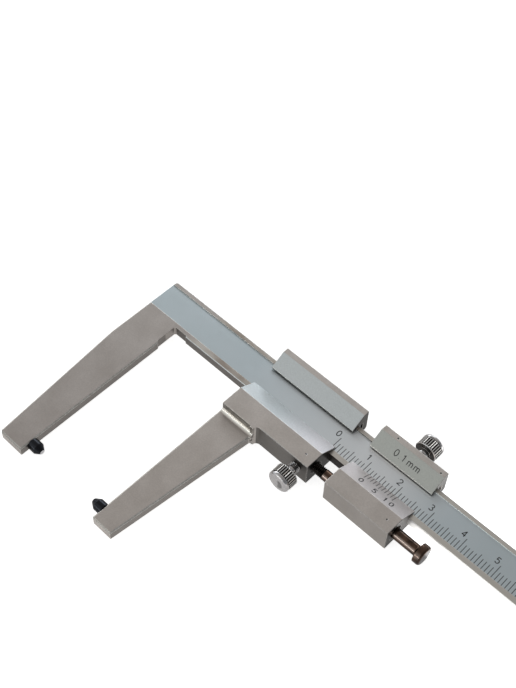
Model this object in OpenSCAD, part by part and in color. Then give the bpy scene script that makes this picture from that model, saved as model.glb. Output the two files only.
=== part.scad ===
// Brake disc measuring caliper: a vernier caliper with long jaws and point tips, and a dead stop
// that lets the jaws open over a worn disc's rim and come back to the size they had.
// Frame: origin at the centre of the fixed tip's measuring face, +X the way the jaws open,
// +Y from the tips up to the beam, +Z out of the scale face. Millimetres.

/* [Beam and fixed jaw] */
// Largest disc thickness the scale reads
measuring_range = 60; // [40:5:90]
// Height of the beam, bottom rail to top rail
beam_w = 11.5; // [10:0.5:16]
// Thickness of the beam and both jaws
beam_t = 3; // [3:0.25:4]
// Throat depth, from the tips' axis to the beam's lower edge
reach = 49.2; // [35:1:70]
// Width of the fixed jaw where it meets the beam
jaw_w = 11.5; // [10:0.5:14]
// Width of the fixed jaw at its tip end
jaw_end_w = 7.9; // [7:0.1:9]

/* [Measuring tips] */
// How far each tip stands out of its jaw
tip_len = 3.75; // [3:0.25:6]
// Diameter of a tip where it leaves the jaw
tip_d = 3.3; // [2.4:0.1:3.6]
// Diameter of the flat measuring face
nose_d = 1.5; // [1:0.1:2]

/* [Sliders] */
// Length of the jaw slider along the beam
jaw_slider_len = 28.5; // [24:0.5:36]
// Length of the vernier slider along the beam
vernier_slider_len = 20; // [17:0.5:26]
// Depth of the blocks below the beam's lower edge
foot_h = 8.3; // [7.5:0.1:11]
// Front wall of the blocks, out from the beam's face
front_t = 3.2; // [3:0.1:4.5]
// Back wall of the blocks, behind the beam
back_t = 1.3; // [1:0.1:2]
// Width of the slider's blade at its root
blade_root_w = 11.3; // [9.5:0.1:12]
// Width of the slider's blade at its tip end
blade_end_w = 6.4; // [5.6:0.1:8]

/* [Stop rod and lock screws] */
// Diameter of the stop rod's shank
rod_d = 3; // [2.4:0.1:3.2]
// Diameter of the stop rod's head
rod_head_d = 5.4; // [5:0.1:6.5]
// Gap between the two blocks when the rod's head is seated
seat_gap = 12.8; // [10:0.2:16]
// Diameter of the lock screws' knurled heads
lock_head_d = 6.5; // [5.2:0.1:7]
// Height of the lock screws' heads
lock_head_h = 4.15; // [3.5:0.05:6]
// Thread diameter of the lock screws
lock_d = 3; // [2.4:0.1:3.2]

/* [Setting at rest] */
// Reading of the vernier at rest, where the dead stop is set
reading = 12; // [2:0.1:38]
// How far the jaw is opened past the dead stop at rest
backoff = 7.2; // [0.4:0.2:9.6]

/* [Hidden] */
$fn = 64;
cut = 1;
clear = 0.3;
run_out = 0.5;

// Clearances: slides on the beam, turning shafts, pieces made fast, and the play a lock takes up
run_c = 0.05;
shaft_c = 0.05;
fast_c = 0.02;
lock_play = 0.05;

// Beam section and outline
edge_c = 0.35;
rail_c = 0.15;
rail_low = 1.6;
rail_high = 1.25;
strip_depth = 0.3;
beam_z = beam_t / 2;
beam_y0 = reach;
beam_y1 = reach + beam_w;
jaw_x1 = -tip_len;
jaw_x0 = jaw_x1 - jaw_w;
tip_margin = 3.8;
end_c = 0.6;
taper_drop = 12.4;
taper_y = reach - taper_drop;
relief_in = 0.55;
relief_up = 0.4;
relief_low = 5.9;
relief_ramp = 0.7;
relief_beam = 3.8;
corner_c = 0.6;

// Tips
tip_base_len = 2.2;
tip_pin_d = 1.6;
tip_pin_len = 4;
tip_edge = 0.12;
tip_bore_d = tip_pin_d + 2 * fast_c;

// Places along the beam, from the tips' closed position
vernier_zero = 5.4;
scale_x = tip_len + jaw_slider_len + seat_gap + vernier_zero;
vernier_x = scale_x + reading - vernier_zero;
block_gap = seat_gap - backoff;
jaw_slider_x = vernier_x - block_gap - jaw_slider_len;
opening = reading + backoff;

// Travel stop at the beam's end
stop_d = 2;
stop_head_d = 2.6;
stop_head_h = 0.9;
stop_slot = 0.4;
stop_margin = 2.8;
stop_x = scale_x + measuring_range - vernier_zero + vernier_slider_len + run_c + stop_head_d / 2;
stop_y = beam_y0 + beam_w / 2;
beam_x1 = stop_x + stop_head_d / 2 + stop_margin;

// Slider section
gib_t = 0.8;
gib_room = 0.55;
gib_y0 = beam_y1 + lock_play;
gib_y1 = gib_y0 + gib_t;
slot_y0 = beam_y0 - run_c;
slot_y1 = gib_y1 + gib_room;
slot_z = beam_z + run_c;
cap_t = 1.9;
block_y0 = beam_y0 - foot_h;
block_y1 = slot_y1 + cap_t;
block_z0 = -beam_z - back_t;
block_z1 = beam_z + front_t;
mid_z = (block_z0 + block_z1) / 2;
lip_over = 2.4;
lip_y = beam_y0 + lip_over;
lip_edge = 0.2;
lip_bevel = 5.2;
lip_bevel_y = lip_y - lip_bevel;
cap_over = 2.65;
cap_y = beam_y1 - cap_over;
cap_edge = 0.45;
cap_bevel = 4.25;
cap_bevel_y = cap_y + cap_bevel;
back_c = 0.5;
rim_c = 0.1;

// Blade and its root
blade_x0 = jaw_slider_x;
root_drop = 1;
root_y = block_y0 - root_drop;
root_r = 1.3;
scoop_land = 0.3;
scoop_bite = 1.02;
blade_c = 0.4;
blade_lead = 0.4;
blade_gap = 0.6;
blade_top = slot_y0 - blade_gap;
jaw_block_x = jaw_slider_x + blade_lead;
jaw_block_x1 = jaw_slider_x + jaw_slider_len;

// Lock screws
lock_neck = 2.6;
lock_edge = 0.3;
lock_collar_h = 1.2;
lock_collar_d = lock_head_d - 0.2;
lock_dome_r = 0.85;
lock_groove_d = lock_head_d - 0.7;
lock_groove_h = 0.2;
lock_knurl_h = lock_head_h - lock_collar_h - lock_groove_h;
dog_d = 0.9;
dog_h = 0.25;
dog_c = 0.1;
pad_h = 2;
pad_rise = 0.3;
pad_y0 = slot_y0 - pad_h;
jaw_lock_in = 3.7;
vernier_lock_in = 10.95;
jaw_lock_x = jaw_block_x1 - jaw_lock_in;
vernier_lock_x = vernier_x + vernier_lock_in;

// Gib screws
grub_d = 2.5;
grub_inset = 5;
jaw_grubs = [jaw_block_x + grub_inset, jaw_block_x1 - grub_inset];
grub_low = 0.1;
grub_slot = 0.4;
gib_inset = 0.3;

// Stop rod
rod_drop = 4.9;
rod_y = reach - rod_drop;
rod_grip = 1.75;
rod_end_room = 0.1;
rod_x0 = jaw_block_x1 - rod_grip;
rod_seat_x = vernier_x + vernier_slider_len + backoff;
rod_flare_h = 0.5;
rod_flare = 0.8;
rod_flare_d = rod_d + rod_flare;
rod_head_h = 2;
rod_edge = 0.25;
sink_wide = 1.5;
sink_d = rod_d + sink_wide;
sink_h = 0.7;
thread_sink_d = rod_d + rod_flare;
thread_sink_h = 0.4;

// Punch marks
mark_d = 0.6;
mark_h = 0.3;
jaw_mark = [2.8, 5.6];
vernier_mark = [2.6, 5.4];
cap_marks = [[4.8, 1], [vernier_slider_len - 1.4, 1.3]];

// Prisms that break the edges of both faces of a plate along an outline's run of outer corners.
// The outline goes round with the metal on its left.
module break_plate(points, c) {
    for (i = [0 : len(points) - 2]) {
        a = points[i];
        d = points[i + 1] - a;
        for (side = [-1, 1])
            translate([a[0], a[1], side * beam_z])
                rotate([0, 0, atan2(d[1], d[0])])
                    translate([-run_out, 0, 0])
                        rotate([90, 0, 90])
                            linear_extrude(norm(d) + 2 * run_out)
                                polygon([[c + clear, side * clear],
                                         [-clear, -side * (c + clear)], [-clear, side * clear]]);
    }
}

// Solid turned about the X axis from points of [x, radius]
module turned_x(points) {
    rotate([90, 0, 90]) rotate_extrude() polygon([for (p = points) [p[1], p[0]]]);
}

// Solid turned about an axis along +Y from points of [y, radius]
module turned_y(points) {
    rotate([-90, 0, 0]) rotate_extrude() polygon([for (p = points) [p[1], p[0]]]);
}

// Round bore along +X from the given start
module bore_x(x, y, z, len, d1, d2) {
    translate([x, y, z]) rotate([0, 90, 0]) cylinder(h = len, d1 = d1, d2 = d2);
}

// Round bore along +Y from the given start
module bore_y(x, y, z, len, d) {
    translate([x, y, z]) rotate([-90, 0, 0]) cylinder(h = len, d = d);
}

// Beam and fixed jaw: one L-shaped plate, its inner corner relieved, the scale strip milled down
// between the rails, the rails' edges barely broken and the jaw's more
jaw_end_y = -tip_margin;
jaw_tip_x = jaw_x1 - jaw_end_w;
rail_outline = [
    [jaw_x1 + relief_beam, beam_y0], [beam_x1 - corner_c, beam_y0], [beam_x1, beam_y0 + corner_c],
    [beam_x1, beam_y1 - corner_c], [beam_x1 - corner_c, beam_y1], [jaw_x0 + corner_c, beam_y1]
];
jaw_outline = [
    [jaw_x0, beam_y1 - corner_c], [jaw_x0, taper_y], [jaw_tip_x, jaw_end_y + end_c],
    [jaw_tip_x + end_c, jaw_end_y], [jaw_x1, jaw_end_y], [jaw_x1, beam_y0 - relief_low - relief_ramp]
];
corner_relief = [
    [jaw_x1 - relief_in, beam_y0 - relief_low], [jaw_x1 - relief_in, beam_y0],
    [jaw_x1 - relief_in + relief_up, beam_y0 + relief_up], [jaw_x1 + relief_beam, beam_y0 + relief_up]
];

module beam() {
    color([0.60, 0.61, 0.61])
    difference() {
        translate([0, 0, -beam_z]) linear_extrude(beam_t) polygon(concat(rail_outline, jaw_outline, corner_relief));
        translate([jaw_x0 - cut, beam_y0 + rail_low, beam_z - strip_depth])
            cube([beam_x1 - jaw_x0 + 2 * cut, beam_w - rail_low - rail_high, strip_depth + cut]);
        break_plate(concat(rail_outline, [jaw_outline[0]]), rail_c);
        break_plate(jaw_outline, edge_c);
        bore_x(jaw_x1 - tip_pin_len, 0, 0, tip_pin_len + cut, tip_bore_d, tip_bore_d);
        translate([stop_x, stop_y, -beam_z - cut]) cylinder(h = beam_t + 2 * cut, d = stop_d + 2 * fast_c);
    }
}

// Point tip turned about X with its measuring face at x = 0 and its pin pressed into the jaw
module tip() {
    turned_x([
        [0, 0], [0, nose_d / 2 - tip_edge], [-tip_edge, nose_d / 2],
        [-tip_len + tip_base_len, tip_d / 2], [-tip_len, tip_d / 2],
        [-tip_len, tip_pin_d / 2], [-tip_len - tip_pin_len, tip_pin_d / 2], [-tip_len - tip_pin_len, 0]
    ]);
}

module fixed_tip() {
    color([0.12, 0.12, 0.13]) tip();
}

module movable_tip() {
    color([0.12, 0.12, 0.13]) translate([opening, 0, 0]) mirror([1, 0, 0]) tip();
}

// Cheese-head screw on the beam's back that keeps the blocks from running off the end
module beam_stop_screw() {
    color([0.35, 0.34, 0.33])
    translate([stop_x, stop_y, 0])
    difference() {
        union() {
            translate([0, 0, -beam_z]) cylinder(h = beam_t - strip_depth - fast_c, d = stop_d);
            translate([0, 0, -beam_z - stop_head_h]) cylinder(h = stop_head_h, d = stop_head_d);
        }
        translate([-stop_slot / 2, -stop_head_d, -beam_z - stop_head_h - cut])
            cube([stop_slot, 2 * stop_head_d, cut + stop_head_h / 2]);
    }
}

// Section shared by both blocks, in Y and Z: foot, bevelled lip, slot for the beam with room for
// the gib, bevelled cap, back wall
lip_outline = [[lip_y, slot_z + lip_edge], [lip_bevel_y, block_z1]];
foot_outline = [
    [block_y0 + rim_c, block_z1], [block_y0, block_z1 - rim_c],
    [block_y0, block_z0 + rim_c], [block_y0 + rim_c, block_z0]
];
cap_outline = [
    [block_y1 - back_c, block_z0], [block_y1, block_z0 + back_c], [block_y1, block_z1 - rim_c],
    [block_y1 - rim_c, block_z1], [cap_bevel_y, block_z1], [cap_y, slot_z + cap_edge]
];
slot_outline = [
    [cap_y, slot_z], [slot_y1, slot_z], [slot_y1, -slot_z],
    [slot_y0, -slot_z], [slot_y0, slot_z], [lip_y, slot_z]
];
block_outline = concat(lip_outline, foot_outline, cap_outline);

// Prisms that break the edges round one end of a block; the end faces side * X
module break_end(x, side, points) {
    for (i = [0 : len(points) - 2]) {
        a = points[i];
        d = points[i + 1] - a;
        translate([x, a[0], a[1]])
            rotate([atan2(d[1], d[0]), 0, 0])
                translate([0, -run_out, 0])
                    rotate([-90, 0, 0])
                        linear_extrude(norm(d) + 2 * run_out)
                            polygon([[side * clear, -rim_c - clear],
                                     [-side * (rim_c + clear), clear], [side * clear, clear]]);
    }
}

module block(x, length) {
    translate([x, 0, 0]) rotate([90, 0, 90]) linear_extrude(length) polygon(concat(block_outline, slot_outline));
}

// Shallow punch mark in a block's front face
module punch_mark(x, y) {
    translate([x, y, block_z1 - mark_h]) cylinder(h = mark_h, d1 = 0, d2 = mark_d);
}

// Blade of the jaw slider: straight on the measuring side, tapered on the other
blade_outline = [
    [blade_x0, blade_top], [blade_x0, jaw_end_y + blade_c], [blade_x0 + blade_c, jaw_end_y],
    [blade_x0 + blade_end_w, jaw_end_y], [blade_x0 + blade_root_w, block_y0], [blade_x0 + blade_root_w, blade_top]
];

module blade() {
    difference() {
        translate([0, 0, -beam_z]) linear_extrude(beam_t) polygon(blade_outline);
        break_plate(blade_outline, edge_c);
    }
}

// Corner piece left between two walls by a round cutter that reaches just past both, in the XY
// plane: the walls meet at the origin and face +X and -Y
module fillet(r, height) {
    difference() {
        translate([-cut, -r, 0]) cube([r + cut, r + cut, height]);
        translate([r, -r, -cut]) cylinder(h = height + 2 * cut, r = r * scoop_bite);
    }
}

// Root of the blade: full block thickness above, swept down to the blade's faces in round scoops,
// and a round fillet where its side runs into the block's underside
module blade_root() {
    root_w = blade_root_w - blade_lead;
    translate([jaw_block_x, root_y, block_z0])
        cube([root_w, block_y0 + cut - root_y, block_z1 - block_z0]);
    translate([jaw_block_x, root_y, beam_z]) scoop(min(root_r, front_t - scoop_land), root_w);
    translate([jaw_block_x, root_y, -beam_z]) mirror([0, 0, 1]) scoop(min(root_r, back_t - scoop_land), root_w);
    translate([blade_x0 + blade_root_w, block_y0, block_z0]) fillet(root_r, block_z1 - block_z0);
}

// Round scoop from the root's underside down to the blade's face, facing -Y and +Z
module scoop(r, width) {
    rotate([0, 90, 0]) mirror([1, 0, 0]) fillet(r, width);
}

module jaw_slider() {
    color([0.58, 0.56, 0.54])
    difference() {
        union() {
            block(jaw_block_x, jaw_block_x1 - jaw_block_x);
            blade_root();
            blade();
        }
        break_end(jaw_block_x, -1, concat(lip_outline, [[root_y, block_z1]]));
        break_end(jaw_block_x, -1, concat([[root_y, block_z0]], cap_outline));
        break_end(jaw_block_x1, 1, block_outline);
        bore_x(blade_x0 - cut, 0, 0, tip_pin_len + cut, tip_bore_d, tip_bore_d);
        bore_x(rod_x0 - rod_end_room, rod_y, mid_z, rod_grip + rod_end_room + cut,
               rod_d + 2 * fast_c, rod_d + 2 * fast_c);
        bore_x(jaw_block_x1 - thread_sink_h, rod_y, mid_z, thread_sink_h,
               rod_d + 2 * fast_c, thread_sink_d);
        bore_y(jaw_lock_x, block_y0 - cut, mid_z, beam_y0 + pad_rise - block_y0 + cut, lock_d + 2 * shaft_c);
        for (x = jaw_grubs)
            bore_y(x, slot_y1 - cut, 0, cap_t + 2 * cut, grub_d + 2 * fast_c);
        punch_mark(jaw_block_x1 - jaw_mark[0], reach - jaw_mark[1]);
    }
}

// Flat spring-steel strip between the beam's top edge and the block's cap, with a seat for each screw
module gib(x, length, seats, seat_z, seat_d) {
    difference() {
        translate([x + gib_inset, gib_y0, -beam_z])
            cube([length - 2 * gib_inset, gib_t, beam_t]);
        for (s = seats)
            bore_y(s, gib_y1 - dog_h - dog_c / 2, seat_z, dog_h + cut, seat_d);
    }
}

module jaw_gib() {
    color([0.45, 0.46, 0.48])
    gib(jaw_block_x, jaw_block_x1 - jaw_block_x, jaw_grubs, 0, dog_d + 2 * dog_c);
}

// Two slotted grub screws that set the gib against the beam
module jaw_gib_screws() {
    color([0.35, 0.34, 0.33])
    for (x = jaw_grubs)
        translate([x, 0, 0])
        difference() {
            turned_y([
                [gib_y1 - dog_h, 0], [gib_y1 - dog_h, dog_d / 2], [gib_y1, dog_d / 2], [gib_y1, grub_d / 2],
                [block_y1 - grub_low, grub_d / 2], [block_y1 - grub_low, 0]
            ]);
            translate([-grub_d, block_y1 - grub_low - grub_slot, -grub_slot / 2])
                cube([2 * grub_d, grub_slot + cut, grub_slot]);
        }
}

// Soft pad between the lower lock screw and the beam's lower edge
module jaw_lock_pad() {
    color([0.78, 0.62, 0.32])
    translate([jaw_lock_x, pad_y0, mid_z])
        turned_y([[0, 0], [0, lock_d / 2], [pad_h, lock_d / 2], [pad_h, 0]]);
}

// Knurled lock screw along +Y: the head's underside at y = 0, the thread below it, and past the
// knurl a groove and a smooth domed collar
module lock_screw(shank, dog) {
    dome = [
        for (a = [0 : 15 : 90])
            [lock_head_h - lock_dome_r * (1 - sin(a)), lock_collar_d / 2 - lock_dome_r * (1 - cos(a))]
    ];
    turned_y(concat([
        [-shank - dog, 0], [-shank - dog, dog_d / 2], [-shank, dog_d / 2], [-shank, lock_d / 2],
        [0, lock_d / 2], [0, lock_head_d / 2 - lock_edge], [lock_edge, lock_head_d / 2],
        [lock_knurl_h, lock_head_d / 2], [lock_knurl_h, lock_groove_d / 2],
        [lock_knurl_h + lock_groove_h, lock_groove_d / 2], [lock_knurl_h + lock_groove_h, lock_collar_d / 2]
    ], dome, [[lock_head_h, 0]]));
}

module jaw_lock_screw() {
    color([0.85, 0.86, 0.88])
    translate([jaw_lock_x, block_y0 - lock_neck, mid_z])
        mirror([0, 1, 0]) lock_screw(pad_y0 - block_y0 + lock_neck, 0);
}

module vernier_lock_screw() {
    color([0.85, 0.86, 0.88])
    translate([vernier_lock_x, block_y1 + lock_neck, mid_z])
        lock_screw(block_y1 + lock_neck - gib_y1, dog_h);
}

// Stop rod: its threaded end screwed into the jaw slider, its shank free in the vernier slider's
// bore, its head the dead stop
module stop_rod() {
    color([0.24, 0.18, 0.14])
    translate([0, rod_y, mid_z])
        turned_x([
            [rod_x0, 0], [rod_x0, rod_d / 2 - rod_edge], [rod_x0 + rod_edge, rod_d / 2],
            [rod_seat_x - rod_flare_h, rod_d / 2], [rod_seat_x, rod_flare_d / 2],
            [rod_seat_x, rod_head_d / 2], [rod_seat_x + rod_head_h - rod_edge, rod_head_d / 2],
            [rod_seat_x + rod_head_h, rod_head_d / 2 - rod_edge], [rod_seat_x + rod_head_h, 0]
        ]);
}

module vernier_slider() {
    vernier_x1 = vernier_x + vernier_slider_len;
    bore_d = rod_d + 2 * shaft_c;
    color([0.58, 0.56, 0.54])
    difference() {
        block(vernier_x, vernier_slider_len);
        break_end(vernier_x, -1, block_outline);
        break_end(vernier_x1, 1, block_outline);
        bore_x(vernier_x - cut, rod_y, mid_z, vernier_slider_len + 2 * cut, bore_d, bore_d);
        bore_x(vernier_x1 - sink_h, rod_y, mid_z, sink_h, bore_d, sink_d);
        bore_x(vernier_x, rod_y, mid_z, sink_h, sink_d, bore_d);
        bore_y(vernier_lock_x, gib_y1 - 2 * lock_play - dog_h, mid_z,
               block_y1 - gib_y1 + 2 * lock_play + dog_h + cut, lock_d + 2 * shaft_c);
        punch_mark(vernier_x1 - vernier_mark[0], reach - vernier_mark[1]);
        for (mark = cap_marks)
            punch_mark(vernier_x + mark[0], block_y1 - mark[1]);
    }
}

module vernier_gib() {
    color([0.45, 0.46, 0.48])
    gib(vernier_x, vernier_slider_len, [vernier_lock_x], mid_z, dog_d + 2 * dog_c);
}

beam();
fixed_tip();
beam_stop_screw();
jaw_slider();
movable_tip();
jaw_gib();
jaw_gib_screws();
jaw_lock_pad();
jaw_lock_screw();
stop_rod();
vernier_slider();
vernier_gib();
vernier_lock_screw();
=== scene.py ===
import math

import bmesh
import bpy
from mathutils import Matrix, Vector


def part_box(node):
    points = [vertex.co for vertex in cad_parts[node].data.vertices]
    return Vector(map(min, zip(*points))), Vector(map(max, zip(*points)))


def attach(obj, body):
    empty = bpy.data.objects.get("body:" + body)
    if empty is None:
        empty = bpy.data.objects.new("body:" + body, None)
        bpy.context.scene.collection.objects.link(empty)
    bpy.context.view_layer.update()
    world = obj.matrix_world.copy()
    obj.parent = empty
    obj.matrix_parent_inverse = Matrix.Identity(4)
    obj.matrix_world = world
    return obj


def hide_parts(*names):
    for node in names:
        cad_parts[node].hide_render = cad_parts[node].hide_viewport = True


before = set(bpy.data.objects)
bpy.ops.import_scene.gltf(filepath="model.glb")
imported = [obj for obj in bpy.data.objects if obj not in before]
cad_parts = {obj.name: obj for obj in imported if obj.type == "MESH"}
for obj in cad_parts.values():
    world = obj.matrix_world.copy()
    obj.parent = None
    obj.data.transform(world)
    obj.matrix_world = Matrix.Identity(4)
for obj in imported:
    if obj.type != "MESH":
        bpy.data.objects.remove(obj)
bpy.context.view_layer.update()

# The bench, the camera and the lights. The tool lies on the backs of its two blocks on a plain
# white bench, seen from the front right and above, under four soft lamps in a pale room.
mm = 0.001
BENCH_Z = -2.8 * mm
WHITE = (1, 1, 1)


def add(tree, kind, sockets=None, **settings):
    """A node of a tree. Its sockets, by name or number, take a value or another node's output."""
    made = tree.nodes.new(kind)
    for name, value in settings.items():
        setattr(made, name, value)
    for name, value in (sockets or {}).items():
        if isinstance(value, bpy.types.NodeSocket):
            tree.links.new(value, made.inputs[name])
        else:
            made.inputs[name].default_value = value
    return made


def finish_for(name):
    """An empty material, its tree, its shader, and the place on the piece that patterns read."""
    made = bpy.data.materials.new(name)
    made.use_nodes = True
    tree = made.node_tree
    place = add(tree, "ShaderNodeTexCoord").outputs["Object"]
    return made, tree, tree.nodes["Principled BSDF"], place


def parts_of(tree, vector):
    """The X, Y and Z of a place or a direction."""
    return add(tree, "ShaderNodeSeparateXYZ", {0: vector}).outputs


def maths(tree, how, *values):
    """One sum on numbers and other nodes' outputs, in the order of the node's own sockets."""
    return add(tree, "ShaderNodeMath", dict(enumerate(values)), operation=how).outputs[0]


def between(tree, value, low, high, to_low=0.0, to_high=1.0):
    """A value carried from one range to another and held at its ends: a mask, where none is given."""
    return add(tree, "ShaderNodeMapRange", {0: value, 1: low, 2: high, 3: to_low, 4: to_high}).outputs[0]


def blend_colours(tree, share, first, second):
    """The first colour where the share is 0, the second where it is 1."""
    mixed = add(tree, "ShaderNodeMix", {0: share}, data_type="RGBA")
    for socket, colour in ((6, first), (7, second)):
        if isinstance(colour, bpy.types.NodeSocket):
            tree.links.new(colour, mixed.inputs[socket])
        else:
            mixed.inputs[socket].default_value = (*colour, 1)
    return mixed.outputs[2]


def scaled(tree, colour, share):
    """A colour made darker by a share."""
    return add(tree, "ShaderNodeVectorMath", {0: colour, "Scale": share}, operation="SCALE").outputs[0]


lens = bpy.data.cameras.new("photo_lens")
lens.lens = 62.69
lens.sensor_width = 36
lens.clip_start = 0.01
camera = bpy.data.objects.new("photo_camera", lens)
camera.location = (142.27 * mm, -78.7 * mm, 256.37 * mm)
camera.rotation_euler = [math.radians(angle) for angle in (36.513, -1.304, 43.99)]
bpy.context.scene.collection.objects.link(camera)
bpy.context.scene.camera = camera

bench_mesh = bpy.data.meshes.new("bench")
bench_corners = [(x, y, BENCH_Z) for x, y in ((-2, -2), (2, -2), (2, 2), (-2, 2))]
bench_mesh.from_pydata(bench_corners, [], [(0, 1, 2, 3)])
bench = bpy.data.objects.new("bench", bench_mesh)
bpy.context.scene.collection.objects.link(bench)
bench_white, tree, shader, place = finish_for("bench_white")
shader.inputs["Roughness"].default_value = 0.9
shader.inputs["Specular IOR Level"].default_value = 0.1
# metal mirrors a greyer bench than the eye sees, and the bench is lit from below like a light table
rays = add(tree, "ShaderNodeLightPath").outputs
surface = blend_colours(tree, rays["Is Glossy Ray"], (0.93, 0.93, 0.93), (0.72, 0.70, 0.69))
tree.links.new(surface, shader.inputs["Base Color"])
shader.inputs["Emission Color"].default_value = (*WHITE, 1)
glow = maths(tree, "MULTIPLY_ADD", rays["Is Camera Ray"], 0.5, 0.3)
# its right end glows more, so the beam's lower side melts into it there
x, y, z = parts_of(tree, place)
right_end = between(tree, x, 75 * mm, 80 * mm)
under_beam = between(tree, y, 46.2 * mm, 47.0 * mm)
glow = maths(tree, "MULTIPLY_ADD", right_end, under_beam, glow)
tree.links.new(glow, shader.inputs["Emission Strength"])
bench_mesh.materials.append(bench_white)

room = bpy.data.worlds.new("pale_room")
bpy.context.scene.world = room
room.use_nodes = True
tree = room.node_tree
x, y, z = parts_of(tree, add(tree, "ShaderNodeTexCoord").outputs["Generated"])
walls = add(tree, "ShaderNodeValToRGB", {0: z})
horizon, overhead = walls.color_ramp.elements
horizon.position, horizon.color = 0.0, (0.80, 0.83, 0.87, 1)
overhead.position, overhead.color = 1.0, (0.36, 0.335, 0.32, 1)
walls.color_ramp.elements.new(0.45).color = (0.50, 0.51, 0.52, 1)
# the room is darker on the right, where the block ends and half of each screw head look black
dimmed = scaled(tree, walls.outputs[0], between(tree, x, -0.05, 0.75, 1.0, 0.4))
# past the bench's end the eye sees plain white, as on the bench
rays = add(tree, "ShaderNodeLightPath").outputs
seen = blend_colours(tree, rays["Is Camera Ray"], dimmed, WHITE)
tree.links.new(seen, tree.nodes["Background"].inputs["Color"])


def lamp(name, place, aim, size, watts, colour=WHITE):
    """A soft rectangular lamp at a place, turned to what it lights."""
    light = bpy.data.lights.new(name, "AREA")
    light.shape = "RECTANGLE"
    light.size, light.size_y = size
    light.energy = watts
    light.color = colour
    made = bpy.data.objects.new(name, light)
    made.location = Vector(place)
    made.rotation_euler = (Vector(aim) - Vector(place)).to_track_quat("-Z", "Y").to_euler()
    bpy.context.scene.collection.objects.link(made)


lamp("soft_lamp", (-0.35, -0.75, 0.7), (0.06, 0.03, 0), (1.0, 1.0), 0.75, (0.95, 1, 0.98))
lamp("far_panel", (-0.35, 0.65, 0.35), (0.06, 0.03, 0), (0.5, 0.25), 1, (0.93, 0.97, 1))
lamp("front_strip", (-0.05, -1.0, 0.25), (0.06, 0.04, 0), (1.0, 0.12), 1.3, (1, 0.98, 0.93))
lamp("left_window", (-0.64, 0.31, 0.24), (0.06, 0.03, 0), (0.4, 0.25), 0.5)
bpy.context.scene.view_settings.view_transform = "Standard"

# The beam and fixed jaw: one L-shaped plate of hardened steel, ground on its rails and its jaw.
# The strip between the rails is milled lower and satin chromed, so the scale reads without glare.
STRIP_Z = 1.2 * mm
RAIL_Y = 48.6 * mm  # just under the beam's lower edge: the jaw is below
BLOCK_Y = 40.84 * mm  # the lower face of both sliding blocks
BLOCK_EDGE_Y = 41.05 * mm  # the top of the broken edge round that face
BLOCK_FRONT_Z = 4.6 * mm
CAP_Y = 54 * mm  # a block's lip is below, its cap above
ROOT_DEEP = 2.5 * mm  # how far a blade's scooped root reaches below its block
SATIN_BEVEL = (0.64, 0.68, 0.69)


def times(tree, first, *more):
    """The product of two or more values, which joins masks: 1 only where all of them are 1."""
    for value in more:
        first = maths(tree, "MULTIPLY", first, value)
    return first


def all_but(tree, mask):
    """The mask of everything that another mask leaves out."""
    return maths(tree, "SUBTRACT", 1.0, mask)


def measured(tree, how, first, second):
    """The distance between two places, or how alike two directions are."""
    return add(tree, "ShaderNodeVectorMath", {0: first, 1: second}, operation=how).outputs["Value"]


def worn_edge(tree, radius, lift=1.0):
    """A rounded normal for sharp edges, and a mask that is 1 on edges, which are painted pale: partly wear,
    partly a painted highlight.
    """
    rounded = add(tree, "ShaderNodeBevel", {"Radius": radius}, samples=6).outputs[0]
    flat = add(tree, "ShaderNodeNewGeometry").outputs["Normal"]
    painted_highlight = between(tree, measured(tree, "DOT_PRODUCT", rounded, flat), 1.0, 0.88, 0.0, lift)
    return rounded, painted_highlight


def noise(tree, place, size, detail=3.0, stretch=(1, 1, 1)):
    """Cloudy texture with features of about the given size in metres, drawn out along an axis."""
    laid = add(tree, "ShaderNodeMapping", {"Vector": place, "Scale": stretch}).outputs[0]
    return add(tree, "ShaderNodeTexNoise", {"Vector": laid, "Scale": 1 / size, "Detail": detail}).outputs[0]


def facing(tree, axis, low=0.9, high=0.97):
    """1 on faces that look along an axis such as "-Y", 0 elsewhere."""
    normal = add(tree, "ShaderNodeNewGeometry").outputs["True Normal"]
    part = parts_of(tree, normal)[axis[1]]
    sign = -1 if axis[0] == "-" else 1
    return between(tree, part, sign * low, sign * high)


def metal_coat(tree, metal, colour, roughness, normal=None):
    """Gives a metal shader its colour, its roughness and its fine relief."""
    metal.inputs["Metallic"].default_value = 1.0
    tree.links.new(colour, metal.inputs["Base Color"])
    tree.links.new(roughness, metal.inputs["Roughness"])
    if normal is not None:
        tree.links.new(normal, metal.inputs["Normal"])


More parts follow.
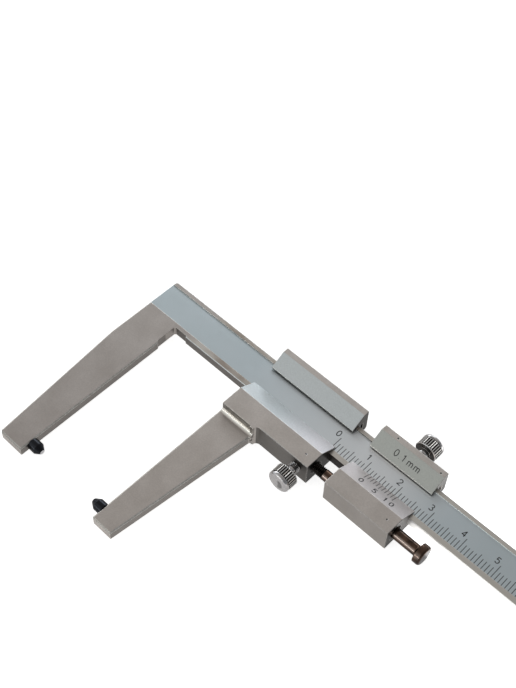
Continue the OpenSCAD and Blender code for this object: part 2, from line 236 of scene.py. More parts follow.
def ground_steel(name, pale, deep, rough, painted_light_by_face=(), punched=(), scoops=0.0, from_y=BLOCK_Y,
                 lip=(SATIN_BEVEL, SATIN_BEVEL), cap=SATIN_BEVEL):
    """Fine-ground bare steel: cloudy tone, faint grinding lines, edges painted pale as wear and painted
    highlight, painted shade in the punch marks, and painted shade and highlight on faces by their direction.

    From `from_y` up the piece is a block or a beam, whose slanting faces are satin, in the tones
    of `lip` at its left and its right, and of `cap`. Further down it is a jaw, with a root whose
    scoops are bright by the share `scoops`. Each entry of the list of faces with painted light is an axis, the
    share of painted shade (under 1) or painted highlight (over 1) on the faces that look along it, how squarely
    they have to look, and the Y where they start.
    """
    made, tree, metal, place = finish_for(name)
    x, y, z = parts_of(tree, place)
    on_block = between(tree, y, from_y, from_y + 0.04 * mm)
    off_jaw = between(tree, y, from_y - ROOT_DEEP - 0.1 * mm, from_y - ROOT_DEEP)
    on_jaw = all_but(tree, off_jaw)
    leaning = all_but(tree, facing(tree, "+Z"))
    slanting = times(tree, facing(tree, "+Z", 0.2, 0.3), leaning)
    tipped_up = facing(tree, "+Z", 0.02, 0.08)
    upright = times(tree, off_jaw, all_but(tree, tipped_up))

    cloud = between(tree, noise(tree, place, 6 * mm, 4), 0.3, 0.7)
    bare = blend_colours(tree, cloud, deep, pale)
    streak = between(tree, noise(tree, place, 0.5 * mm, 2, stretch=(0.05, 1, 1)), 0.35, 0.65)
    filed = blend_colours(tree, streak, (0.74, 0.71, 0.65), (0.97, 0.95, 0.90))
    root = times(tree, off_jaw, tipped_up, leaning, scoops)
    jaw_tone = blend_colours(tree, maths(tree, "MAXIMUM", slanting, root), bare, filed)
    lip_tone = blend_colours(tree, between(tree, x, 35 * mm, 48 * mm), *lip)
    satin_tone = blend_colours(tree, between(tree, y, CAP_Y, CAP_Y + 1 * mm), lip_tone, cap)
    block_tone = blend_colours(tree, slanting, bare, satin_tone)
    tone = blend_colours(tree, on_block, jaw_tone, block_tone)

    grit = noise(tree, place, 0.35 * mm, 2)
    share = between(tree, grit, 0.35, 0.75, 0.93, 1.04)
    painted_light_masks = []
    # painted light on whole faces by the way they look: painted shade, and a painted highlight where the share
    # is over 1
    for axis, painted_share, squarely, start_y in painted_light_by_face:
        above = between(tree, y, start_y, start_y + 0.1 * mm)
        looking = facing(tree, axis, squarely, squarely + 0.1)
        painted_light_masks.append((times(tree, looking, above, upright if axis == "-Y" else on_block), painted_share))
    # painted shade: the jaws' inner sides and the broken edges of their ends are painted darker than their
    # faces
    block_edge = times(tree, on_block, between(tree, y, BLOCK_EDGE_Y + 0.05 * mm, BLOCK_EDGE_Y))
    ends = maths(tree, "MAXIMUM", on_jaw, block_edge)
    painted_light_masks.append((times(tree, facing(tree, "+X", 0.75, 0.85), on_jaw), 0.58))
    painted_light_masks.append((times(tree, facing(tree, "-Y", 0.3, 0.4), tipped_up, ends), 0.33))
    for mask, painted_share in painted_light_masks:
        share = times(tree, share, between(tree, mask, 0.0, 1.0, 1.0, painted_share))
    # painted shade in the punch marks
    for mark_x, mark_y in punched:
        off = measured(tree, "DISTANCE", place, (mark_x * mm, mark_y * mm, BLOCK_FRONT_Z))
        share = times(tree, share, between(tree, off, 0.2 * mm, 0.32 * mm, 0.6, 1.0))

    # edges painted pale: partly real wear, partly a painted highlight
    rounded, painted_highlight = worn_edge(tree, 0.16 * mm)
    colour = blend_colours(tree, painted_highlight, scaled(tree, tone, share), (0.98, 0.96, 0.91))
    lines = noise(tree, place, 0.1 * mm, 2, stretch=(1, 0.04, 1))
    relief = maths(tree, "ADD", lines, times(tree, grit, 0.5))
    bump = add(tree, "ShaderNodeBump", {
        "Strength": 0.35, "Distance": 0.004 * mm, "Height": relief, "Normal": rounded})
    metal_coat(tree, metal, colour, between(tree, lines, 0.3, 0.7, rough - 0.05, rough + 0.07), bump.outputs[0])
    return made, tree, metal, place, colour


# painted shade on the beam's faces that look along −Y
beam_steel, tree, metal, place, ground = ground_steel(
    "ground_beam_steel", pale=(0.60, 0.565, 0.535), deep=(0.51, 0.475, 0.445), rough=0.36,
    painted_light_by_face=[("-Y", 0.4, 0.8, 0)], from_y=RAIL_Y)
x, y, z = parts_of(tree, place)
on_beam = times(tree, between(tree, y, RAIL_Y - 0.1 * mm, RAIL_Y), between(tree, x, 0.5 * mm, 4 * mm))
# the rails are stained brown under the jaw slider's path and worn paler towards the far end
stain = between(tree, noise(tree, place, 3 * mm, 4, stretch=(0.4, 1, 1)), 0.35, 0.65)
brown = blend_colours(tree, stain, (0.42, 0.37, 0.32), (0.66, 0.63, 0.58))
rail = blend_colours(tree, between(tree, x, 20 * mm, 75 * mm), brown, (0.68, 0.66, 0.61))
coat = blend_colours(tree, times(tree, on_beam, facing(tree, "+Z")), ground, rail)
# the lower side has painted shade where the blocks stand, and a painted white reflection beyond them
lower_side = times(tree, on_beam, facing(tree, "-Y", 0.5, 0.6))
painted_shade_between_blocks = times(tree, lower_side, between(tree, x, 40 * mm, 52 * mm))
coat = blend_colours(tree, painted_shade_between_blocks, coat, (0.05, 0.042, 0.038))
painted_white_reflection = times(tree, lower_side, between(tree, x, 63 * mm, 74 * mm))
coat = blend_colours(tree, painted_white_reflection, coat, (0.98, 0.97, 0.95))
# satin strip: only the low floor between the rails, which faces up at the strip's own height
under_rails = between(tree, z, STRIP_Z + 0.15 * mm, STRIP_Z + 0.1 * mm)
over_back = between(tree, z, STRIP_Z - 0.1 * mm, STRIP_Z - 0.05 * mm)
strip = times(tree, under_rails, over_back, facing(tree, "+Z"))
satin_cloud = between(tree, noise(tree, place, 25 * mm, 2), 0.3, 0.7)
satin = blend_colours(tree, satin_cloud, (0.60, 0.69, 0.725), (0.66, 0.745, 0.79))
# it is rubbed paler in the middle of its length, where the blocks run most
travel = times(tree, between(tree, x, 20 * mm, 58 * mm), between(tree, x, 84 * mm, 66 * mm))
satin = blend_colours(tree, travel, satin, (0.84, 0.88, 0.90))
tree.links.new(blend_colours(tree, strip, coat, satin), metal.inputs["Base Color"])


def dress(node, finish):
    """A CAD solid whose shape is right keeps it, and gets its finish."""
    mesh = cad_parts[node].data
    mesh.materials.clear()
    mesh.materials.append(finish)


dress("beam", beam_steel)

# The beam's scale: millimetre lines and centimetre numbers, cut fine in the satin strip and filled
# with black. The zero line stands where the vernier's zero is when the tips touch.
ZERO_X, LINE_FOOT_Y = 50.45, 50.8
NUMBER_FOOT_Y, NUMBER_SHIFT = 54.77, -1.32
LINE_WIDTH, CUT_DEPTH = 0.17 * mm, 0.016 * mm


def pattern(name, sizes):
    """A Geometry Nodes tree with a socket for each named size."""
    tree = bpy.data.node_groups.new(name, "GeometryNodeTree")
    tree.interface.new_socket("Geometry", in_out="OUTPUT", socket_type="NodeSocketGeometry")
    tree.interface.new_socket("Geometry", in_out="INPUT", socket_type="NodeSocketGeometry")
    for label, kind in sizes.items():
        tree.interface.new_socket(label, in_out="INPUT", socket_type="NodeSocket" + kind)
    given = tree.nodes.new("NodeGroupInput").outputs
    return tree, given


def deliver(tree, geometry, finish):
    """Ends a tree: real geometry, in one finish."""
    real = add(tree, "GeometryNodeRealizeInstances", {0: geometry})
    coated = add(tree, "GeometryNodeSetMaterial", {"Geometry": real.outputs[0], "Material": finish})
    tree.links.new(coated.outputs[0], tree.nodes.new("NodeGroupOutput").inputs[0])


def made_plain(name, tree, sizes, base=None):
    """Runs a tree with its sizes set, and keeps what it makes as a plain mesh."""
    draft = bpy.data.objects.new(name + "_draft", base or bpy.data.meshes.new(name + "_draft"))
    bpy.context.scene.collection.objects.link(draft)
    maker = draft.modifiers.new(name, "NODES")
    maker.node_group = tree
    for socket in tree.interface.items_tree:
        if socket.in_out == "INPUT" and socket.name in sizes:
            maker[socket.identifier] = sizes[socket.name]
    bpy.context.view_layer.update()
    plain = bpy.data.meshes.new_from_object(draft.evaluated_get(bpy.context.evaluated_depsgraph_get()))
    draft.modifiers.remove(maker)
    bpy.data.objects.remove(draft)
    plain.name = name
    piece = bpy.data.objects.new(name, plain)
    bpy.context.scene.collection.objects.link(piece)
    return piece


graduation, given = pattern("graduation", {
    "Lines": "Int", "First": "Vector", "Step": "Vector", "Lean": "Vector", "Width": "Float",
    "Short": "Float", "Middle": "Float", "Long": "Float", "Depth": "Float", "Fill": "Material"})


def every(count):
    """1 on every line of the graduation whose number is a multiple of the count."""
    return maths(graduation, "LESS_THAN", maths(graduation, "MODULO", index, count), 0.5)


def longer(reach, lines, size, usual):
    """The reach of the lines, with some of them as much longer as one size is than another."""
    more = times(graduation, lines, maths(graduation, "SUBTRACT", given[size], given[usual]))
    return maths(graduation, "ADD", reach, more)


row = add(graduation, "GeometryNodeMeshLine", {
    "Count": given["Lines"], "Start Location": given["First"], "Offset": given["Step"]}, mode="OFFSET")
index = add(graduation, "GeometryNodeInputIndex").outputs[0]
reach = longer(given["Short"], every(5.0), "Middle", "Short")
reach = longer(reach, every(10.0), "Long", "Middle")
block = add(graduation, "GeometryNodeMeshCube").outputs[0]
from_foot = add(graduation, "GeometryNodeTransform", {0: block, "Translation": (0, 0.5, 0)}).outputs[0]
size = add(graduation, "ShaderNodeCombineXYZ", {0: given["Width"], 1: reach, 2: given["Depth"]})
lines = add(graduation, "GeometryNodeInstanceOnPoints", {
    "Points": row.outputs[0], "Instance": from_foot, "Rotation": given["Lean"], "Scale": size.outputs[0]})
deliver(graduation, lines.outputs[0], given["Fill"])

black_fill, tree, paint, place = finish_for("black_line_fill")
worn = between(tree, noise(tree, place, 0.5 * mm, 3), 0.4, 0.75)
fill_tone = blend_colours(tree, worn, (0.014, 0.015, 0.016), (0.035, 0.037, 0.04))
tree.links.new(fill_tone, paint.inputs["Base Color"])
paint.inputs["Roughness"].default_value = 0.55

beam_lines = made_plain("beam_lines", graduation, {
    "Lines": 71, "First": (ZERO_X * mm, LINE_FOOT_Y * mm, STRIP_Z), "Step": (mm, 0, 0), "Lean": (0, 0, 0),
    "Width": LINE_WIDTH, "Short": 2.65 * mm, "Middle": 3.34 * mm, "Long": 4.12 * mm, "Depth": CUT_DEPTH,
    "Fill": black_fill})
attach(beam_lines, "frame")

engraving, given = pattern("engraving", {"Width": "Float", "Depth": "Float", "Fill": "Material"})
stroke = add(engraving, "GeometryNodeMeshToCurve", {0: given["Geometry"]})
nib = add(engraving, "GeometryNodeCurvePrimitiveCircle", {
    "Resolution": 8, "Radius": times(engraving, given["Width"], 0.5)})
drawn = add(engraving, "GeometryNodeCurveToMesh", {
    0: stroke.outputs[0], "Profile Curve": nib.outputs[0], "Fill Caps": True})
flatness = maths(engraving, "DIVIDE", given["Depth"], given["Width"])
flat = add(engraving, "ShaderNodeCombineXYZ", {0: 1.0, 1: 1.0, 2: flatness})
pressed = add(engraving, "GeometryNodeTransform", {0: drawn.outputs[0], "Scale": flat.outputs[0]})
deliver(engraving, pressed.outputs[0], given["Fill"])


def bow(x, y, wide, high, start, end, points=12):
    """A curved stroke: part of an ellipse about a middle, from one angle in degrees to another."""
    angles = [math.radians(start + (end - start) * i / points) for i in range(points + 1)]
    return [(x + wide * math.cos(a), y + high * math.sin(a)) for a in angles]


FIGURES = {
    "0": [bow(0, 0.5, 0.29, 0.5, 90, 440, 22) + [(0, 1)]],
    "1": [[(-0.2, 0.8), (0.04, 1), (0.04, 0)]],
    "2": [bow(0, 0.71, 0.29, 0.29, 165, -38) + [(-0.29, 0), (0.31, 0)]],
    "3": [bow(-0.02, 0.76, 0.25, 0.24, 150, -90) + bow(-0.02, 0.26, 0.3, 0.26, 90, -150)],
    "4": [[(0.14, 0), (0.14, 1), (-0.3, 0.28), (0.31, 0.28)]],
    "5": [[(0.26, 1), (-0.2, 1), (-0.24, 0.55)] + bow(-0.03, 0.32, 0.3, 0.32, 118, -150)],
    "6": [[(0.2, 1), (-0.12, 0.66)] + bow(0, 0.31, 0.29, 0.31, 150, 510, 20)],
    "7": [[(-0.29, 1), (0.29, 1), (-0.1, 0)]],
    ".": [[(-0.03, 0.02), (0.05, 0.02)]],
    "m": [[(-0.41, 0), (-0.41, 0.66)],
          [(-0.41, 0.46)] + bow(-0.2, 0.46, 0.21, 0.2, 180, 0) + [(0.01, 0)],
          [(0.01, 0.46)] + bow(0.21, 0.46, 0.2, 0.2, 180, 0) + [(0.41, 0)]],
}


def square_ended(line):
    """The same stroke with points close to both ends of its long parts, so it keeps its width."""
    full = [line[0]]
    for a, b in zip(line, line[1:]):
        if math.dist(a, b) > 0.15:
            full += [(a[0] + (b[0] - a[0]) * t, a[1] + (b[1] - a[1]) * t) for t in (0.03, 0.97)]
        full.append(b)
    return full


def engraved(name, figures, high, lie, width):
    """Figures as filled cuts: each is a character with its middle x and its foot, in the plane `lie`."""
    points, joins = [], []
    for character, x, foot in figures:
        for line in FIGURES[character]:
            line = square_ended(line)
            start = len(points)
            points += [(x * mm + u * high, foot * mm + v * high, 0) for u, v in line]
            joins += [(i, i + 1) for i in range(start, len(points) - 1)]
    base = bpy.data.meshes.new(name + "_strokes")
    base.from_pydata(points, joins, [])
    piece = made_plain(name, engraving, {"Width": width, "Depth": CUT_DEPTH, "Fill": black_fill}, base)
    piece.data.transform(lie)
    return piece


centimetres = [(str(n), ZERO_X + 10 * n + NUMBER_SHIFT, NUMBER_FOOT_Y) for n in range(8)]
beam_numbers = engraved("beam_numbers", centimetres, high=1.66 * mm,
                        lie=Matrix.Translation((0, 0, STRIP_Z)), width=0.25 * mm)
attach(beam_numbers, "frame")

# The fixed tip: a small hardened steel point, turned, blackened all over and then ground flat and
# bright on its nose. Its pin is pressed into the jaw's inner edge.
TIP_OUTLINE = [(-7.75, 0), (-7.75, 0.8), (-3.75, 0.8), (-3.75, 1.65),
               (-1.55, 1.65), (-0.12, 0.75), (0, 0.63), (0, 0)]
TIP_EASE = 0.09

turned_piece, given = pattern("turned_piece", {
    "Facets": "Int", "Knurl from": "Float", "Knurl to": "Float", "Teeth": "Float", "Tooth depth": "Float",
    "Thread from": "Float", "Thread to": "Float", "Pitch": "Float", "Thread depth": "Float",
    "Finish": "Material"})
tree = turned_piece
rings = add(tree, "GeometryNodeAttributeDomainSize", {0: given["Geometry"]}).outputs["Point Count"]
columns = maths(tree, "ADD", given["Facets"], 1.0)
net = add(tree, "GeometryNodeMeshGrid", {
    "Size X": 1.0, "Size Y": 1.0, "Vertices X": rings, "Vertices Y": columns})
index = add(tree, "GeometryNodeInputIndex").outputs[0]
ring = maths(tree, "FLOOR", maths(tree, "DIVIDE", index, columns))
part_turn = maths(tree, "DIVIDE", maths(tree, "MODULO", index, columns), given["Facets"])
outline_point = add(tree, "GeometryNodeSampleIndex", {
    0: given["Geometry"], "Value": add(tree, "GeometryNodeInputPosition").outputs[0], "Index": ring},
    data_type="FLOAT_VECTOR").outputs[0]
along, radius, unused = parts_of(tree, outline_point)


def grooves(phase, kind, depth):
    """How deep V grooves cut at a phase that counts them, on the stretch that is given for the kind."""
    wave = times(tree, maths(tree, "FLOORED_MODULO", phase, 1.0), 2.0)
    cut = times(tree, maths(tree, "ABSOLUTE", maths(tree, "SUBTRACT", wave, 1.0)), depth)
    started = maths(tree, "GREATER_THAN", along, given[kind + " from"])
    not_ended = maths(tree, "LESS_THAN", along, given[kind + " to"])
    return times(tree, cut, times(tree, started, not_ended))


knurl = grooves(times(tree, part_turn, given["Teeth"]), "Knurl", given["Tooth depth"])
helix = maths(tree, "SUBTRACT", maths(tree, "DIVIDE", along, given["Pitch"]), part_turn)
thread = grooves(helix, "Thread", given["Thread depth"])
radius = maths(tree, "SUBTRACT", maths(tree, "SUBTRACT", radius, knurl), thread)
angle = times(tree, part_turn, 2 * math.pi)
around = add(tree, "ShaderNodeCombineXYZ", {
    0: along, 1: times(tree, radius, maths(tree, "COSINE", angle)),
    2: times(tree, radius, maths(tree, "SINE", angle))})
shaped = add(tree, "GeometryNodeSetPosition", {0: net.outputs[0], "Position": around.outputs[0]})
closed = add(tree, "GeometryNodeMergeByDistance", {0: shaped.outputs[0], "Distance": 0.0004 * mm})
deliver(tree, closed.outputs[0], given["Finish"])


def eased(points, ease):
    """A turned outline, in mm along and out from the axis, with its corners rounded over."""
    soft = [points[0]]
    for before, here, after in zip(points, points[1:], points[2:]):
        a, b, c = Vector(before), Vector(here), Vector(after)
        reach = min(ease, (a - b).length * 0.45, (c - b).length * 0.45)
        start, end = b + (a - b).normalized() * reach, b + (c - b).normalized() * reach
        for i in range(5):
            t = i / 4
            soft.append(tuple(start * (1 - t) ** 2 + b * 2 * t * (1 - t) + end * t * t))
    return soft + [points[-1]]


def stepped(points, step):
    """The same outline with extra rings, so that a thread or a knurl has points to stand on."""
    fine = [points[0]]
    for a, b in zip(points, points[1:]):
        count = max(1, math.ceil(math.dist(a, b) / step))
        fine += [tuple(a[k] + (b[k] - a[k]) * i / count for k in (0, 1)) for i in range(1, count + 1)]
    return fine


def turned(name, outline, finish, lie, facets=96, **cuts):
    """A round piece on its axis: an outline in mm along +X, laid in place by the matrix `lie`."""
    base = bpy.data.meshes.new(name + "_outline")
    joins = [(i, i + 1) for i in range(len(outline) - 1)]
    base.from_pydata([(x * mm, r * mm, 0) for x, r in outline], joins, [])
    sizes = {"Facets": facets, "Finish": finish, "Teeth": 1.0, "Pitch": 1.0, "Knurl from": 0.0, "Knurl to": 0.0,
             "Tooth depth": 0.0, "Thread from": 0.0, "Thread to": 0.0, "Thread depth": 0.0}
    sizes.update({label.replace("_", " ").capitalize(): float(value) for label, value in cuts.items()})
    piece = made_plain(name, turned_piece, sizes, base)
    piece.data.transform(lie)
    shell = bmesh.new()
    shell.from_mesh(piece.data)
    bmesh.ops.recalc_face_normals(shell, faces=shell.faces)
    shell.to_mesh(piece.data)
    shell.free()
    piece.data.shade_smooth()
    piece.data.set_sharp_from_angle(angle=math.radians(32))
    return piece


def black_tip(name, nose_x):
    """Black oxide on turned steel, ground bright within a hair of the nose's face."""
    made, tree, metal, place = finish_for(name)
    x, y, z = parts_of(tree, place)
    off_nose = maths(tree, "ABSOLUTE", maths(tree, "SUBTRACT", x, nose_x))
    bright = between(tree, off_nose, 0.07 * mm, 0.02 * mm)
    grain = noise(tree, place, 0.12 * mm, 3, stretch=(4, 1, 1))
    oxide = blend_colours(tree, between(tree, grain, 0.3, 0.7), (0.018, 0.019, 0.023), (0.042, 0.045, 0.052))
    bump = add(tree, "ShaderNodeBump", {"Strength": 0.3, "Distance": 0.003 * mm, "Height": grain})
    metal_coat(tree, metal, blend_colours(tree, bright, oxide, (0.74, 0.74, 0.76)),
               between(tree, grain, 0.2, 0.8, 0.14, 0.26), bump.outputs[0])
    return made


fixed_point = turned("fixed_point", eased(TIP_OUTLINE, TIP_EASE), black_tip("black_fixed_tip", 0.0),
                     Matrix.Identity(4))
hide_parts("fixed_tip")
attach(fixed_point, "frame")

# The stop screw on the back of the beam's far end: a small steel cheese head, blackened and screwed
# in, that the vernier's block meets before it can run off the beam.
blackened_steel, tree, metal, place = finish_for("blackened_screw_steel")
cloud = between(tree, noise(tree, place, 0.6 * mm, 4), 0.3, 0.7)
dark = blend_colours(tree, cloud, (0.09, 0.085, 0.08), (0.17, 0.16, 0.15))
# its edges are painted paler: partly wear, partly a painted highlight
rounded, painted_highlight = worn_edge(tree, 0.06 * mm, 0.6)
metal_coat(tree, metal, blend_colours(tree, painted_highlight, dark, (0.6, 0.58, 0.55)),
           between(tree, cloud, 0.0, 1.0, 0.32, 0.5), rounded)
dress("beam_stop_screw", blackened_steel)

# The jaw slider: one steel block with a channel for the beam, ground on every outside face, and
# the tapered blade running out of it through a scooped root. The scoops are left bright.
SLIDER_PALE, SLIDER_DEEP, SLIDER_ROUGH = (0.71, 0.67, 0.63), (0.62, 0.58, 0.54), 0.34
# painted shade on the faces that look along −Y and along +X
slider_steel = ground_steel(
    "ground_slider_steel", SLIDER_PALE, SLIDER_DEEP, SLIDER_ROUGH,
    painted_light_by_face=[("-Y", 0.34, 0.6, 0), ("+X", 0.1, 0.4, 0)], punched=[(48.65, 43.6)], scoops=1.0,
    lip=(SATIN_BEVEL, (0.88, 0.86, 0.88)))[0]
dress("jaw_slider", slider_steel)

# The movable tip: the fixed tip's twin, turned from the same steel and blackened. It is pressed
# into the blade and faces the fixed one.
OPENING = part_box("movable_tip")[0].x
facing_back = Matrix.Translation((OPENING, 0, 0)) @ Matrix.Rotation(math.pi, 4, "Z")
movable_point = turned("movable_point", eased(TIP_OUTLINE, TIP_EASE), black_tip("black_movable_tip", OPENING),
                       facing_back)
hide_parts("movable_tip")
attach(movable_point, "jaw")

# The jaw slider's strip and its two slotted grub screws: a rolled spring-steel strip that the
# screws press on the beam's top edge, to take up play.
strip_steel, tree, metal, place = finish_for("rolled_strip_steel")
roll = noise(tree, place, 0.3 * mm, 3, stretch=(0.05, 1, 1))
metal_coat(tree, metal, blend_colours(tree, roll, (0.34, 0.36, 0.4), (0.5, 0.51, 0.54)),
           between(tree, roll, 0.2, 0.8, 0.25, 0.45))
dress("jaw_gib", strip_steel)
dress("jaw_gib_screws", blackened_steel)

# The pad under the lower lock screw: a slug turned from brass bar, loose in its bore, that keeps
# the screw's end from marking the beam.
brass, tree, metal, place = finish_for("turned_brass")
tool_marks = noise(tree, place, 0.15 * mm, 2, stretch=(0.1, 3, 0.1))
metal_coat(tree, metal, blend_colours(tree, tool_marks, (0.62, 0.45, 0.2), (0.78, 0.61, 0.32)),
           between(tree, tool_marks, 0.2, 0.8, 0.25, 0.4))
dress("jaw_lock_pad", brass)

# The lower lock screw clamps the jaw slider. It is turned from steel bar, with a straight knurl, a
# smooth domed collar at the end and an M3 thread, and bright plated. The upper one is its twin.
HEAD_LONG, HEAD_R = 4.15, 3.25
KNURL_MIDDLE, SHANK_MIDDLE = 2.63, 10.2  # counted back from the head's far face
THREAD_R, THREAD_PITCH = 1.5, 0.5
THREAD_STEP = THREAD_PITCH / 8
SCREW_FACETS = 210
SCREW_CUTS = {"knurl_from": 0.2 * mm, "knurl_to": 2.75 * mm, "teeth": 30, "tooth_depth": 0.32 * mm,
              "thread_to": -1.2 * mm, "pitch": THREAD_PITCH * mm, "thread_depth": 0.27 * mm}


def bright_plate(name, axis, face_y, out):
    """Bright plating, with painted shade in the bottoms of the knurl and the thread and in the groove by the
    collar, and a painted dark reflection on the head's underside and its end face.

    `axis` is the screw's X and Z, `face_y` the far face of its head, and `out` the way it looks
    along Y, 1 or -1.
    """
    made, tree, metal, place = finish_for(name)
    x, y, z = parts_of(tree, place)
    aside, up = [maths(tree, "SUBTRACT", spot, at) for spot, at in zip((x, z), axis)]
    squares = maths(tree, "ADD", maths(tree, "POWER", aside, 2.0), maths(tree, "POWER", up, 2.0))
    off_axis = maths(tree, "POWER", squares, 0.5)
    off_knurl, off_shank = [
        maths(tree, "ABSOLUTE", maths(tree, "SUBTRACT", y, face_y - out * back * mm))
        for back in (KNURL_MIDDLE, SHANK_MIDDLE)]
    outward, inward = ("+Y", "-Y") if out > 0 else ("-Y", "+Y")

    on_knurl = between(tree, off_knurl, 1.25 * mm, 1.2 * mm)
    valleys = times(tree, between(tree, off_axis, 3.16 * mm, 3.08 * mm), on_knurl)
    on_shank = between(tree, off_shank, 6.1 * mm, 6.0 * mm)
    roots = times(tree, between(tree, off_axis, 1.48 * mm, 1.25 * mm), on_shank)
    past_knurl = times(tree, between(tree, off_knurl, 1.22 * mm, 1.27 * mm),
                       between(tree, off_knurl, 1.5 * mm, 1.43 * mm))
    neck = times(tree, between(tree, off_axis, 3.05 * mm, 2.96 * mm), past_knurl)
    # a painted dark reflection: a crescent on the right half of the end face, round the pip at its middle
    on_end = times(tree, facing(tree, outward), between(tree, off_knurl, 1.3 * mm, 1.35 * mm))
    dark_reflection_crescent = times(tree, between(tree, off_axis, 0.2 * mm, 0.45 * mm),
                     between(tree, off_axis, 1.8 * mm, 1.45 * mm), on_end,
                     between(tree, aside, -0.1 * mm, 0.5 * mm))
    # painted shade in the knurl's valleys, the thread's roots and the groove by the collar, and a painted dark
    # reflection on the faces that look in at the block
    painted_shade_and_reflection = facing(tree, inward)
    for painted_dark in (valleys, times(tree, roots, 0.75), times(tree, dark_reflection_crescent, 0.65), neck):
        painted_shade_and_reflection = maths(tree, "MAXIMUM", painted_shade_and_reflection, painted_dark)

    smear = between(tree, noise(tree, place, 0.7 * mm, 3), 0.3, 0.7)
    plate = blend_colours(tree, smear, (0.56, 0.55, 0.55), (0.72, 0.71, 0.71))
    plate = blend_colours(tree, on_knurl, plate, (0.97, 0.96, 0.93))
    metal_coat(tree, metal, blend_colours(tree, painted_shade_and_reflection, plate, (0.05, 0.047, 0.045)),
               between(tree, smear, 0.0, 1.0, 0.08, 0.2))
    return made


def lock_screw_outline(shank, dog):
    """From the end of the thread to the head's far face, in mm from the head's underside."""
    tail = [(-shank - dog, 0), (-shank - dog, 0.45), (-shank, 0.45)] if dog else [(-shank, 0)]
    rim = [(0, 2.95), (0.15, 3.1), (0.3, HEAD_R)]
    under = eased(tail + [(-shank, THREAD_R), (0, THREAD_R)] + rim, 0.05)[:-1]
    neck = [(2.78, 3.12), (2.78, 2.9), (2.95, 2.9), (2.95, 3.1)]
    knurl = stepped([(0.3, HEAD_R), (2.72, HEAD_R)], 0.3)
    quarter_turn = [math.radians(angle) for angle in range(0, 82, 9)]
    collar = [(3.3 + 0.7 * math.sin(a), 2.45 + 0.7 * math.cos(a)) for a in quarter_turn]
    dome = [(HEAD_LONG - 0.14 * (r / 2.3) ** 2, r) for r in (2.3, 1.9, 1.5, 1.1, 0.7, 0.3)]
    return stepped(under, THREAD_STEP) + knurl + neck + collar + dome + [(HEAD_LONG, 0)]


def lock_screw(name, node, plate_name, out, thread_from, dog=0):
    """A lock screw in its CAD node's place, with its head's far face looking along Y by `out`.

    `dog` is the length in mm of the thin pin that the upper one has at its end.
    """
    low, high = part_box(node)
    axis_x, axis_z = (low.x + high.x) / 2, (low.z + high.z) / 2
    face_y = high.y if out > 0 else low.y
    underside = Matrix.Translation((axis_x, face_y - out * HEAD_LONG * mm, axis_z))
    lie = underside @ Matrix.Rotation(out * math.pi / 2, 4, "Z")
    outline = lock_screw_outline((high.y - low.y) / mm - (HEAD_LONG + dog), dog)
    plate = bright_plate(plate_name, (axis_x, axis_z), face_y, out)
    return turned(name, outline, plate, lie, SCREW_FACETS, thread_from=thread_from, **SCREW_CUTS)


lower_screw = lock_screw("lower_lock_screw", "jaw_lock_screw", "plated_lower_screw", -1, -20 * mm)
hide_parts("jaw_lock_screw")
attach(lower_screw, "jaw_screw")

# The stop rod: a headed steel rod, burnished dark brown. Its M3 thread screws into the jaw slider,
# its shank runs free through the vernier's block, and its head is the dead stop.
ROD_THREAD, ROD_HEAD = 4.9, 2.0
low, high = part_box("stop_rod")
rod_y, rod_z = (low.y + high.y) / 2, (low.z + high.z) / 2
rod_long = (high.x - low.x) / mm
rod_brown, tree, metal, place = finish_for("burnished_brown")
x, y, z = parts_of(tree, place)
blot = between(tree, noise(tree, place, 1.6 * mm, 4), 0.35, 0.7)
brown = blend_colours(tree, blot, (0.05, 0.036, 0.03), (0.15, 0.095, 0.068))
# a painted highlight: a paler line along the rod's front, which is fainter on the head
normal = add(tree, "ShaderNodeNewGeometry").outputs["Normal"]
to_front = between(tree, measured(tree, "DOT_PRODUCT", normal, (0, -0.78, 0.626)), 0.93, 1.0)
head_x = high.x - ROD_HEAD * mm
painted_highlight = times(tree, to_front, between(tree, x, head_x, head_x - 0.2 * mm, 0.3, 0.7))
brown = blend_colours(tree, painted_highlight, brown, (0.46, 0.38, 0.34))
# the thread is darker than the shank
thread_end_x = low.x + ROD_THREAD * mm
darker_thread = between(tree, x, thread_end_x, thread_end_x - 0.1 * mm)
brown = blend_colours(tree, darker_thread, brown, (0.028, 0.024, 0.022))
# painted shade on the head's end face, inside its rim
off_middle = measured(tree, "DISTANCE", place, (high.x, rod_y, rod_z))
face = times(tree, between(tree, x, high.x - 0.05 * mm, high.x - 0.01 * mm),
             between(tree, off_middle, 2.15 * mm, 1.95 * mm))
bump = add(tree, "ShaderNodeBump", {
    "Strength": 0.25, "Distance": 0.004 * mm, "Height": noise(tree, place, 0.1 * mm, 2, stretch=(4, 1, 1))})
metal_coat(tree, metal, blend_colours(tree, face, brown, (0.046, 0.041, 0.043)),
           between(tree, blot, 0.0, 1.0, 0.13, 0.24), bump.outputs[0])
threaded = stepped([(0, 0), (0, 1.25), (0.25, THREAD_R), (ROD_THREAD, THREAD_R)], THREAD_STEP)
under_head = rod_long - ROD_HEAD
headed = eased([
    (ROD_THREAD, THREAD_R), (rod_long - 2.5, THREAD_R), (under_head, 1.9), (under_head, 2.7),
    (rod_long - 0.4, 2.7), (rod_long, 2.35), (rod_long, 0)], 0.2)
rod = turned("dead_stop_rod", [(0, 0)] + threaded[1:] + headed[1:], rod_brown,
             Matrix.Translation((low.x, rod_y, rod_z)), 128, thread_from=0.2 * mm, thread_to=4.7 * mm,
             pitch=THREAD_PITCH * mm, thread_depth=0.28 * mm)
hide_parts("stop_rod")
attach(rod, "jaw")

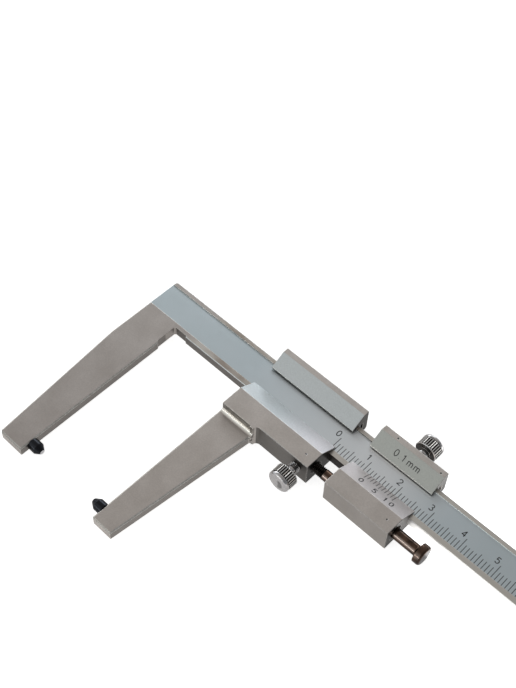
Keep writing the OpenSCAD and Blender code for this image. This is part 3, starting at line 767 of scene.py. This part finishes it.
# The vernier slider: a shorter block of the same section and steel, ground the same way. Its lower
# bevel carries ten vernier divisions in nine millimetres, its cap the scale value.
LIP_Y, LIP_Z = 51.6, 1.75
LIP_LEAN = math.atan2(2.95, -5.2)
LIP_TONE = (0.69, 0.65, 0.645)
CAP_FOOT_Y, CAP_FOOT_Z = 58.05, 2.0
CAP_LEAN = math.atan2(2.7, 4.25)
low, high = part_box("vernier_slider")
left, right, top = low.x / mm, high.x / mm, high.y / mm
# painted shade on the faces that look along −Y and along +X, and a painted highlight on the cap's edge, which
# looks down on the scale from 55 mm up and is paler than the block's lower face
vernier_steel = ground_steel(
    "ground_vernier_steel", SLIDER_PALE, SLIDER_DEEP, SLIDER_ROUGH,
    painted_light_by_face=[("-Y", 0.7, 0.8, 0), ("-Y", 2.0, 0.8, 55 * mm), ("+X", 0.1, 0.4, 0)],
    punched=[(right - 2.6, 43.8), (left + 4.8, top - 1), (right - 1.4, top - 1.3)],
    lip=(LIP_TONE, LIP_TONE), cap=(0.53, 0.55, 0.52))[0]
dress("vernier_slider", vernier_steel)

VERNIER_ZERO = left + 5.4
VERNIER_STEP = 0.9 * mm
vernier_lines = made_plain("vernier_lines", graduation, {
    "Lines": 11, "First": (VERNIER_ZERO * mm, LIP_Y * mm, LIP_Z * mm), "Step": (VERNIER_STEP, 0, 0),
    "Lean": (LIP_LEAN, 0, 0), "Width": LINE_WIDTH, "Short": 2.07 * mm, "Middle": 2.3 * mm,
    "Long": 2.53 * mm, "Depth": CUT_DEPTH, "Fill": black_fill})
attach(vernier_lines, "vernier")

VERNIER_FOOT = -4.9
tenths = [(character, VERNIER_ZERO + shift, VERNIER_FOOT)
          for character, shift in (("0", 0.25), ("5", 4.55), ("1", 7.9), ("0", 9.85))]
lip_plane = Matrix.Translation((0, LIP_Y * mm, LIP_Z * mm)) @ Matrix.Rotation(LIP_LEAN - math.pi, 4, "X")
vernier_numbers = engraved("vernier_numbers", tenths, high=1.62 * mm, lie=lip_plane, width=0.29 * mm)
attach(vernier_numbers, "vernier")

VALUE_FOOT = 1.75
value = [(character, x, VALUE_FOOT)
         for character, x in (("0", 63.77), (".", 64.97), ("1", 66.15), ("m", 68.2), ("m", 70.3))]
cap_plane = Matrix.Translation((0, CAP_FOOT_Y * mm, CAP_FOOT_Z * mm)) @ Matrix.Rotation(CAP_LEAN, 4, "X")
scale_value = engraved("scale_value", value, high=1.7 * mm, lie=cap_plane, width=0.22 * mm)
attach(scale_value, "vernier")

# The vernier's strip and lock screw: the strip is rolled spring steel like the jaw slider's. The
# plated screw, turned like the lower one, presses it on the beam; its dog sits in a drilled seat.
dress("vernier_gib", strip_steel)
upper_screw = lock_screw("upper_lock_screw", "vernier_lock_screw", "plated_upper_screw", 1, -4.9 * mm, dog=0.25)
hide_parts("vernier_lock_screw")
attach(upper_screw, "vernier_screw")

bpy.context.view_layer.update()
